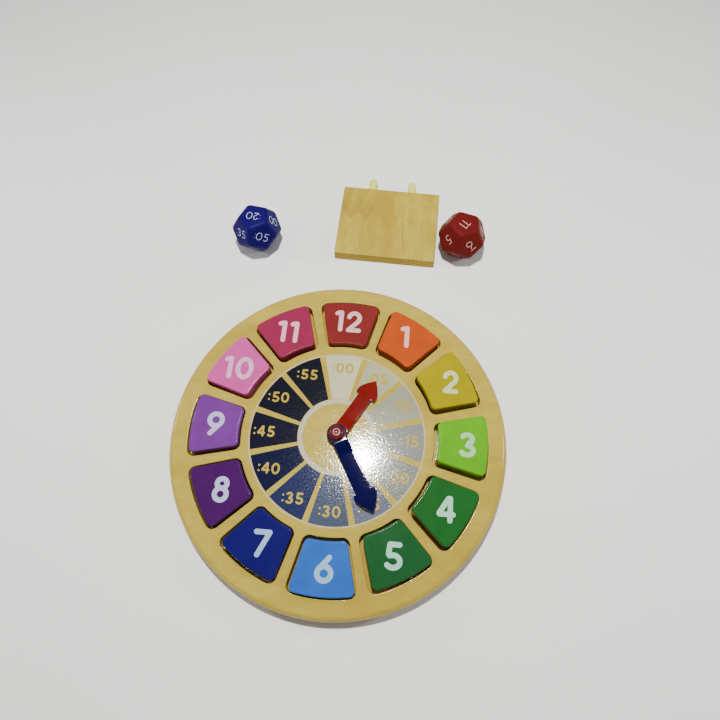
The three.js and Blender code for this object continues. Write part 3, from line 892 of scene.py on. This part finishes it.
def front_board_mesh():
    """The front layer: a flat face round twelve lipped pockets, a rounded rim and the pin's bore."""
    points, faces = [], []

    def add(rings):
        faces.extend(wall_faces(len(rings), len(rings[0]), sum(len(ring) for ring in points)))
        points.extend(rings)

    walls = [at_height(pocket_outline(0), BACK_TOP)]
    for inset, drop in reversed(edge_steps(POCKET_LIP_ROUND, 5)):
        walls.append(at_height(pocket_outline(-inset), FACE - drop))
    face_frame = at_height(sector_frame(DIAL_FIELD_RADIUS, BOARD_RADIUS - FACE_EDGE_ROUND), FACE)
    back_frame = at_height(sector_frame(DIAL_FIELD_RADIUS, BOARD_RADIUS - GLUE_LINE), BACK_TOP)
    for hour in range(HOURS):
        turn = -hour * HOUR_ANGLE
        loft = [back_frame] + walls + [face_frame]
        add([np.column_stack([rotated(ring[:, :2], turn), ring[:, 2]]) for ring in loft])
    outer_sides = (CORNER_POINTS + OUTER_POINTS) * HOURS
    inner_sides = (CORNER_POINTS + INNER_POINTS) * HOURS
    shift = QUARTER_TURN - HOUR_ANGLE / 2

    def hoop(radius, height, sides):
        return at_height(rotated(circle(radius, sides), shift), height)

    rim = [(BOARD_RADIUS - GLUE_LINE, BACK_TOP), (BOARD_RADIUS, BACK_TOP + GLUE_LINE)]
    rim += corner_arc(BOARD_RADIUS - FACE_EDGE_ROUND, FACE - FACE_EDGE_ROUND, FACE_EDGE_ROUND, 0, 90, 10)
    add([hoop(radius, height, outer_sides) for radius, height in rim])
    field = [(radius, FACE) for radius in (DIAL_FIELD_RADIUS, *DIAL_FIELD_RINGS, HUB_BORE_RADIUS)]
    field += [(radius, BACK_TOP) for radius, height in reversed(field)]
    add([hoop(radius, height, inner_sides) for radius, height in field])
    return mesh_of("front board", np.concatenate(points), faces)


def cutter(radius, low, high):
    """A round cutter between two heights."""
    return turned("cutter", [(radius, low), (radius, high)], HOLE_SIDES)


def dowel_hole_cutters():
    return [
        turned_and_moved(
            cutter(DOWEL_HOLE_RADIUS, -OVERRUN, DOWEL_HOLE_DEPTH), 0, side * DOWEL_SPACING / 2, DOWEL_HOLE_Y
        )
        for side in (-1, 1)
    ]


def build_board():
    front = combined(front_board_mesh(), dowel_hole_cutters(), "DIFFERENCE")
    finished("board_front", front, BOARD_WOOD, "board", ["front_board"])
    profile = [(BOARD_RADIUS - BACK_EDGE_ROUND - BACK_FLAT_RING, 0)]
    profile += corner_arc(BOARD_RADIUS - BACK_EDGE_ROUND, BACK_EDGE_ROUND, BACK_EDGE_ROUND, -90, 0, 8)
    profile += [(BOARD_RADIUS, BACK_TOP - GLUE_LINE), (BOARD_RADIUS - GLUE_LINE, BACK_TOP)]
    anchor = cutter(HUB_BORE_RADIUS, PIN_FOOT, BACK_TOP + OVERRUN)
    back = combined(turned("back", profile, RIM_SIDES), [anchor] + dowel_hole_cutters(), "DIFFERENCE")
    finished("board_back", back, BACK_WOOD, "board", ["back_panel"])


# Number blocks

NUMERAL_HEIGHT = 20.7
NUMERAL_STROKE = 4.05
NUMERAL_SPACING = 0.14
NUMERAL_OUTLINE_STEP = 0.3
NUMERAL_RADIUS = 103
# How far each number is printed off its block's middle, to the right and upwards
NUMERAL_SHIFTS = [
    (-1.7, 2.1), (2.5, 1.0), (2.8, -0.7), (0.6, -0.6), (-0.5, -0.9), (0.6, 0.7),
    (1.9, -0.4), (1.4, -0.4), (0.6, 0.2), (-0.4, -0.7), (-0.6, -0.8), (-1.3, 1.0),
]
PAINT_FILM = 0.08


def block_outline(inset):
    """The block at 12 o'clock: its pocket's outline drawn in by the clearance and an inset."""
    return pocket_outline(BLOCK_CLEARANCE + inset)


def build_blocks():
    middle = (POCKET_INNER_RADIUS + POCKET_OUTER_RADIUS) / 2
    reach = middle * math.sin(HOUR_ANGLE / 2)
    for hour in range(1, HOURS + 1):
        clockwise, outwards, twist = (share * BLOCK_CLEARANCE for share in BLOCK_SEAT_SHARES[hour - 1])
        around = hour * HOUR_ANGLE
        slot, colour = BLOCK_PAINTS[hour - 1]
        gloss = 0.0 if hour == MATT_HOUR else PAINT_GLOSS
        paint = satin_paint(f"{slot.replace('_', ' ')} on block {hour}", colour, gloss)
        block = rounded_slab("block", block_outline, BACK_TOP, BLOCK_TOP, BLOCK_EDGE_ROUND, 7)
        block.transform(Matrix.Translation((0, -middle, 0)))
        block.transform(Matrix.Rotation(-twist / reach, 4, "Z"))
        block.transform(Matrix.Translation((clockwise, middle + outwards, 0)))
        block.transform(Matrix.Rotation(-around, 4, "Z"))
        finished(f"block_{hour}", block, paint, f"block_{hour}", [f"number_block_{hour}"])

        loops = lettering(str(hour), NUMERAL_HEIGHT, NUMERAL_STROKE, NUMERAL_SPACING, NUMERAL_OUTLINE_STEP)
        numeral = film("numeral", loops, BLOCK_TOP - PAINT_FILM, BLOCK_TOP + PAINT_FILM)
        right, up = NUMERAL_SHIFTS[hour - 1]
        spot = NUMERAL_RADIUS * Vector((math.sin(around), math.cos(around), 0)) + Vector((right, up, 0))
        slide = Matrix.Rotation(-around, 3, "Z") @ Vector((clockwise, outwards, 0))
        numeral.transform(Matrix.Translation(spot + slide))
        ink = numeral_paint(f"numeral ink on block {hour}", NUMERAL_INKS[hour - 1])
        finished(f"block_{hour}_numeral", numeral, ink, f"block_{hour}")


# Printed dial

# The print sits a little off the pin and turned, as in the photo
DIAL_SHIFT = (-0.5, -0.1)
DIAL_TURN_DEGREES = 0.72
INK = 0.04
WEDGE_INNER, WEDGE_OUTER = 32.6, 72.0
OUTER_RING = (72.4, 73.3)
INNER_RING = (28.5, 32.4)
GAP_INNER, GAP_OUTER = 3.0, 5.0
LABEL_HEIGHT, LABEL_STROKE, LABEL_RADIUS = 9.3, 1.75, 60.6
LABEL_SPACING, LABEL_OUTLINE_STEP = 0.15, 0.15
MINUTES_PER_HOUR_MARK = 5


def wedge_outline(hour):
    """A minute field between two separators that narrow inwards."""
    points = []
    for side, radii in ((-1, (WEDGE_INNER, WEDGE_OUTER)), (1, (WEDGE_OUTER, WEDGE_INNER))):
        for radius in radii:
            gap = GAP_INNER + (GAP_OUTER - GAP_INNER) * (radius - WEDGE_INNER) / (WEDGE_OUTER - WEDGE_INNER)
            points.append((radius, side * (HOUR_ANGLE / 2 - math.asin(gap / 2 / radius))))
    turns = [turn for radius, turn in points]
    path = [(WEDGE_INNER, turns[0])]
    path += [(WEDGE_OUTER, turn) for turn in np.linspace(turns[1], turns[2], 13)]
    path += [(WEDGE_INNER, turn) for turn in np.linspace(turns[3], turns[0], 9)[:-1]]
    middle = hour * HOUR_ANGLE
    return [(radius * math.sin(middle + turn), radius * math.cos(middle + turn)) for radius, turn in path]


def print_film(name, loops, colour):
    """A printed shape on the board's face, moved with the whole print."""
    mesh = film(name, loops, FACE - INK, FACE + INK)
    turned_and_moved(mesh, DIAL_TURN_DEGREES, *DIAL_SHIFT)
    finished(name, mesh, printed(name.replace("_", " "), colour), "board")


def build_dial():
    for name, (inner, outer) in (("dial_outer_ring", OUTER_RING), ("dial_inner_ring", INNER_RING)):
        print_film(name, [circle(outer, RING_SIDES), circle(inner, RING_SIDES)], DIAL_RING_INK)
    for hour in range(HOURS):
        minutes = f"{MINUTES_PER_HOUR_MARK * hour:02d}"
        label = lettering(f":{minutes}", LABEL_HEIGHT, LABEL_STROKE, LABEL_SPACING, LABEL_OUTLINE_STEP)
        across = LABEL_RADIUS * math.sin(hour * HOUR_ANGLE)
        up = LABEL_RADIUS * math.cos(hour * HOUR_ANGLE)
        label = [[(x + across, y + up) for x, y in loop] for loop in label]
        print_film(f"dial_field_{minutes}", [wedge_outline(hour)] + label, WEDGE_INKS[hour])


# Pin, washers and hands

def hand_flank(length, head, inset):
    """The right-hand outline of a hand from its axis to its tip, drawn in by an inset."""
    arm, barb = HAND_ARM_WIDTH / 2, HEAD_WIDTH / 2
    neck = length - head
    flank, tip = neck + HEAD_BARB_LENGTH, length - HEAD_TIP_RADIUS
    bend = np.array([barb / 2 + HEAD_BULGE, (flank + tip) / 2 + HEAD_BULGE])
    start, end = np.array([barb, flank]), np.array([HEAD_TIP_RADIUS, tip])
    path = [(arm, y) for y in np.linspace(0, neck - 1.5 * NECK_ROUND, 30)]
    path += corner_arc(arm + NECK_ROUND, neck - NECK_ROUND, NECK_ROUND, 180, 90, 3)
    path += corner_arc(barb - BARB_ROUND, neck + BARB_ROUND, BARB_ROUND, -90, 0, 4)
    path += [(barb, y) for y in np.linspace(neck + BARB_ROUND, flank - NECK_ROUND, 4)[1:]]
    path += [
        tuple(start * (1 - share) ** 2 + 2 * bend * share * (1 - share) + end * share * share)
        for share in np.linspace(0.03, 0.97, 10)
    ]
    path += corner_arc(0, tip, HEAD_TIP_RADIUS, 30, 84, 4)
    path = np.array(path)
    along = np.gradient(path, axis=0)
    along /= np.linalg.norm(along, axis=1)[:, None]
    inwards = np.column_stack([-along[:, 1], along[:, 0]])
    return path + inwards * inset


def smooth_step(value, low, high):
    share = np.clip((value - low) / (high - low), 0, 1)
    return share * share * (3 - 2 * share)


def hand_mesh(length, head, hub_radius, thickness, drop, lean):
    """An arm that leaves its hub level, slopes down and leans to one side, joined to its bored hub."""
    slope_end = hub_radius + HAND_SLOPE
    low_rings, high_rings = [], []
    for inset, rise in edge_steps(HAND_EDGE_ROUND):
        side = hand_flank(length, head, inset)
        fall = smooth_step(side[:, 1], hub_radius, slope_end)
        low_rings.append(np.column_stack([side, rise - drop * fall]))
        top = HUB_HEIGHT - SEAM - HAND_CROWN - (HUB_HEIGHT - thickness + drop) * fall
        high_rings.append(np.column_stack([side, top - rise]))
    crowned = []
    for share in (0.88, 0.74, 0.6, 0.46, 0.32, 0.18, 0.06):
        ring = high_rings[0] * (share, 1, 1)
        ring[:, 2] += HAND_CROWN * (1 - share * share)
        crowned.append(ring)
    half = low_rings + high_rings[::-1] + crowned
    other = [ring * (-1, 1, 1) for ring in half]
    # A belt of rings round each cross-section: up the right side and down the left
    belt = np.stack(half + other[::-1])
    rows, columns = belt.shape[:2]
    points = belt.transpose(1, 0, 2).reshape(-1, 3)
    points[:, 2] += lean * points[:, 0] * smooth_step(points[:, 1], hub_radius, slope_end)
    faces = wall_faces(columns, rows)
    faces += [tuple(range(rows)), tuple(range((columns - 1) * rows, columns * rows))]
    arm = mesh_of("arm", points, faces)
    hub_flat = hub_radius - HUB_EDGE_ROUND
    hub_profile = corner_arc(hub_flat, HUB_EDGE_ROUND, HUB_EDGE_ROUND, -90, 0, 4)
    hub_profile += corner_arc(hub_flat, HUB_HEIGHT - HUB_EDGE_ROUND, HUB_EDGE_ROUND, 0, 90, 5)
    hub = turned("hub", hub_profile, HUB_SIDES)
    bore = cutter(HUB_BORE_RADIUS, -OVERRUN, HUB_HEIGHT + OVERRUN)
    return combined(combined(arm, [hub], "UNION"), [bore], "DIFFERENCE")


def build_hands():
    hour = hand_mesh(**HOUR_HAND)
    turned_and_moved(hour, -HOUR_HAND_DEGREES, z=HOUR_HAND_FOOT)
    finished("hand_hour", hour, RED_PLASTIC, "hour_hand", ["hour_hand"], 50)
    minute = hand_mesh(**MINUTE_HAND)
    turned_and_moved(minute, -MINUTE_HAND_DEGREES, z=MINUTE_HAND_FOOT)
    finished("hand_minute", minute, BLUE_PLASTIC, "minute_hand", ["minute_hand"], 50)


def build_pin():
    """The pin with its domed cap, which has a dimple in its crown."""
    profile = [(PIN_RADIUS, PIN_FOOT), (PIN_RADIUS, CAP_LOW), (CAP_RADIUS - CAP_FOOT_ROUND, CAP_LOW)]
    profile += corner_arc(CAP_RADIUS - CAP_FOOT_ROUND, CAP_LOW + CAP_FOOT_ROUND, CAP_FOOT_ROUND, -90, 0, 3)
    dome = CAP_RADIUS - CAP_CREST_RADIUS
    profile += [
        (CAP_CREST_RADIUS + dome * math.cos(turn), CAP_SHOULDER + CAP_RISE * math.sin(turn))
        for turn in np.radians(np.arange(0, 96, 6))
    ]
    crest = CAP_SHOULDER + CAP_RISE
    profile += [
        (CAP_CREST_RADIUS * (1 - share), crest - CAP_DIP * smooth_step(share, 0, 0.72))
        for share in np.linspace(0.08, 0.96, 12)
    ]
    finished("pin_cap", turned("pin", profile), CAP_PLASTIC, "board", ["centre_pin"], 60)


def build_washers():
    for name, node, radius, low, high in WASHERS:
        rim = radius - WASHER_CHAMFER
        profile = [
            (HUB_BORE_RADIUS, low), (rim, low), (radius, low + WASHER_CHAMFER),
            (radius, high - WASHER_CHAMFER), (rim, high), (HUB_BORE_RADIUS, high),
        ]
        washer = turned(name, profile, closed=True)
        finished(name, washer, WASHER_PLASTIC, "board", [node])


# Stand

def plate_outline(inset):
    """The stand plate's outline, drawn in by an inset."""
    radius = STAND_CORNER_RADIUS - inset
    across, along = STAND_WIDTH / 2 - inset - radius, STAND_DEPTH / 2 - inset - radius
    corners = [(across, -along), (across, along), (-across, along), (-across, -along)]
    return np.concatenate([
        arc_points(corner, radius, (k - 1) * QUARTER_TURN, k * QUARTER_TURN, 8)
        for k, corner in enumerate(corners)
    ])


def dowel_profile(plate_edge):
    """The dowel's radius against its distance from the plate's middle, with a rounded nose."""
    profile = [(DOWEL_RADIUS, plate_edge - DOWEL_ROOT)]
    profile.append((DOWEL_RADIUS, plate_edge + DOWEL_REACH - DOWEL_NOSE_LENGTH))
    for share in np.linspace(0.15, 1, 6):
        radius = DOWEL_RADIUS * (1 - share * share * DOWEL_NOSE_SHARE)
        profile.append((radius, plate_edge + DOWEL_REACH - DOWEL_NOSE_LENGTH * (1 - share) ** 2))
    return profile


def build_stand():
    lay_back = Matrix.Rotation(-QUARTER_TURN, 4, "X")
    plate_edge = STAND_DEPTH / 2
    sockets, dowels = [], []
    for side in (-1, 1):
        seat = Matrix.Translation((side * DOWEL_SPACING / 2, 0, STAND_THICKNESS / 2)) @ lay_back
        socket = cutter(DOWEL_RADIUS + GLUE_GAP, plate_edge - DOWEL_ROOT - GLUE_GAP, plate_edge + OVERRUN)
        socket.transform(seat)
        sockets.append(socket)
        dowel = turned("dowel", dowel_profile(plate_edge), HOLE_SIDES)
        dowel.transform(seat)
        dowels.append(dowel)
    plate = rounded_slab("plate", plate_outline, 0, STAND_THICKNESS, STAND_EDGE_ROUND)
    plate = combined(plate, sockets, "DIFFERENCE")
    turned_and_moved(plate, STAND_DEGREES, *STAND_CENTRE)
    finished("stand_board", plate, STAND_WOOD, "stand", ["stand_plate"])
    for name, dowel in zip(("left", "right"), dowels):
        turned_and_moved(dowel, STAND_DEGREES, *STAND_CENTRE)
        finished(f"dowel_{name}", dowel, DOWEL_WOOD, "stand", [f"stand_dowel_{name}"])


# Dice

DIE_NUMBER_SPACING = 0.14
DIE_NUMBER_OUTLINE_STEP = 0.12
DIE_NUMBER_RISE = 0.04

# For each face, in die_faces's order, its number and the turn of the number on it, in degrees
MINUTE_DIE_FACES = [
    (":20", 163), (":30", 0), (":00", 101), (":40", 90), (":45", 30), (":50", 200),
    (":55", 120), (":15", 0), (":35", 17), (":10", 60), (":05", -34), (":25", 300),
]
HOUR_DIE_FACES = [
    ("11", -132), ("2", 0), ("10", 151), ("7", 90), ("4", 30), ("1", 200),
    ("12", 120), ("8", 0), ("5", -105), ("3", 60), ("9_", 34), ("6_", 300),
]


def die_faces():
    """The twelve face directions of a die that lies on a face: up, down, then high and low by turns."""
    tilt = HALF_TURN - math.acos(-1 / math.sqrt(5))
    level, height = math.sin(tilt), math.cos(tilt)
    directions = [Vector((0, 0, 1)), Vector((0, 0, -1))]
    for k in range(10):
        turn = k * HALF_TURN / 5
        rise = height if k % 2 == 0 else -height
        directions.append(Vector((level * math.cos(turn), level * math.sin(turn), rise)))
    return directions


def die_mesh(name):
    """A solid of twelve pentagons cut from a cube, with rounded edges and corners."""
    inradius = DIE_INRADIUS - DIE_FILM
    shape = bmesh.new()
    bmesh.ops.create_cube(shape, size=DIE_BLANK)
    for normal in die_faces():
        cut = bmesh.ops.bisect_plane(
            shape, geom=shape.verts[:] + shape.edges[:] + shape.faces[:], dist=WELD / 10,
            plane_co=normal * inradius, plane_no=normal, clear_outer=True,
        )
        rim = [part for part in cut["geom_cut"] if isinstance(part, bmesh.types.BMEdge)]
        bmesh.ops.contextual_create(shape, geom=rim)
    bmesh.ops.recalc_face_normals(shape, faces=shape.faces)
    bmesh.ops.bevel(
        shape, geom=shape.edges[:], offset=DIE_EDGE_ROUND, segments=6, profile=0.5,
        affect="EDGES", clamp_overlap=True,
    )
    ball = inradius / INRADIUS_SHARE * DIE_CORNER_SHARE
    for vertex in shape.verts:
        if vertex.co.length > ball:
            vertex.co *= ball / vertex.co.length
    mesh = bpy.data.meshes.new(name)
    shape.to_mesh(mesh)
    shape.free()
    return mesh


def build_die(name, node, place, material, ink, faces, number_size):
    x, y, degrees = place
    height, stroke = number_size
    stand_up = Matrix.Translation((x, y, DIE_INRADIUS)) @ Matrix.Rotation(math.radians(degrees), 4, "Z")
    mesh = die_mesh(name)
    mesh.transform(stand_up)
    finished(name, mesh, material, node, [node], 60)
    for normal, (text, spin) in zip(die_faces(), faces):
        loops = lettering(text, height, stroke, DIE_NUMBER_SPACING, DIE_NUMBER_OUTLINE_STEP)
        number = film("number", loops, -DIE_FILM, DIE_NUMBER_RISE)
        if abs(normal.z) > 0.99:
            side = Vector((1, 0, 0))
        else:
            side = Vector((0, 0, 1)).cross(normal).normalized()
        axes = Matrix((side, normal.cross(side), normal)).transposed().to_4x4()
        turn = Matrix.Rotation(math.radians(spin), 4, "Z")
        number.transform(stand_up @ Matrix.Translation(normal * (DIE_INRADIUS - DIE_FILM)) @ axes @ turn)
        clean = text.replace(":", "").replace("_", "")
        finished(f"{name}_number_{clean}", number, ink, node)


def build_dice():
    build_die(
        "die_minutes", "minute_die", MINUTE_DIE_PLACE,
        MINUTE_DIE_PLASTIC, MINUTE_DIE_INK, MINUTE_DIE_FACES, MINUTE_DIE_NUMBER,
    )
    build_die(
        "die_hours", "hour_die", HOUR_DIE_PLACE,
        HOUR_DIE_PLASTIC, HOUR_DIE_INK, HOUR_DIE_FACES, HOUR_DIE_NUMBER,
    )


# Stage, in metres

FLOOR_REACH = 3.0
FLOOR_HEIGHT = -0.0002
BOARD_MIDDLE = (0.02, -0.012, 0.02)
BOARD_LEFT, BOARD_RIGHT = (-0.13, 0, 0.02), (0.13, 0, 0.02)
CEILING_SPOT = (-0.010, 0.184, 1.0)
LEFT_WINDOW_SPOT, RIGHT_WINDOW_SPOT = (-0.66, 0.17, 0.3), (0.62, 0.15, 0.42)
CEILING_LAMP_SIZE, WINDOW_SIZE = (0.05, 0.055), (0.04, 0.24)
CEILING_POWER, WINDOW_POWER = 15.0, 1.1
LAMP_WHITE, SKY_WHITE = (1, 0.98, 0.95), (0.96, 0.98, 1.0, 1)
SKY_STRENGTH = 0.25
CAMERA_LENS = 27.392
CAMERA_PLACE = (0.03578, -0.10697, 0.46422)
CAMERA_DEGREES = (21.78, 0.923, 5.167)


def soft_lamp(name, spot, target, size, power, colour=(1, 1, 1)):
    data = bpy.data.lights.new(name, "AREA")
    data.shape = "ELLIPSE"
    data.size, data.size_y = size
    data.energy = power
    data.color = colour
    lamp = placed(name, data)
    lamp.location = spot
    lamp.rotation_euler = (Vector(target) - Vector(spot)).to_track_quat("-Z", "Y").to_euler()


def build_stage():
    mesh = bpy.data.meshes.new("floor")
    corners = [(x * FLOOR_REACH, y * FLOOR_REACH, 0) for x, y in ((-1, -1), (1, -1), (1, 1), (-1, 1))]
    mesh.from_pydata(corners, [], [(0, 1, 2, 3)])
    floor = placed("floor", mesh)
    floor.location.z = FLOOR_HEIGHT
    paper = Finish("pale floor")
    cloud = paper.sheet.band(paper.sheet.noise(paper.place, 9.0, 2), 0.3, 0.7)
    shade = paper.sheet.mix(cloud, srgb(246, 246, 244), srgb(249, 249, 247))
    paper.set(Base_Color=shade, Roughness=0.9)
    mesh.materials.append(paper.material)

    world = bpy.data.worlds.new("soft room")
    world.use_nodes = True
    sky = world.node_tree.nodes["Background"]
    sky.inputs["Color"].default_value = SKY_WHITE
    sky.inputs["Strength"].default_value = SKY_STRENGTH
    bpy.context.scene.world = world

    soft_lamp("ceiling lamp", CEILING_SPOT, BOARD_MIDDLE, CEILING_LAMP_SIZE, CEILING_POWER, LAMP_WHITE)
    soft_lamp("left window", LEFT_WINDOW_SPOT, BOARD_LEFT, WINDOW_SIZE, WINDOW_POWER)
    soft_lamp("right window", RIGHT_WINDOW_SPOT, BOARD_RIGHT, WINDOW_SIZE, WINDOW_POWER)

    camera = bpy.data.cameras.new("camera")
    camera.sensor_width = 36
    camera.lens = CAMERA_LENS
    viewer = placed("camera", camera)
    viewer.location = CAMERA_PLACE
    viewer.rotation_euler = [math.radians(degrees) for degrees in CAMERA_DEGREES]
    bpy.context.scene.camera = viewer


build_stage()
build_board()
build_dial()
build_blocks()
build_hands()
build_pin()
build_washers()
build_stand()
build_dice()
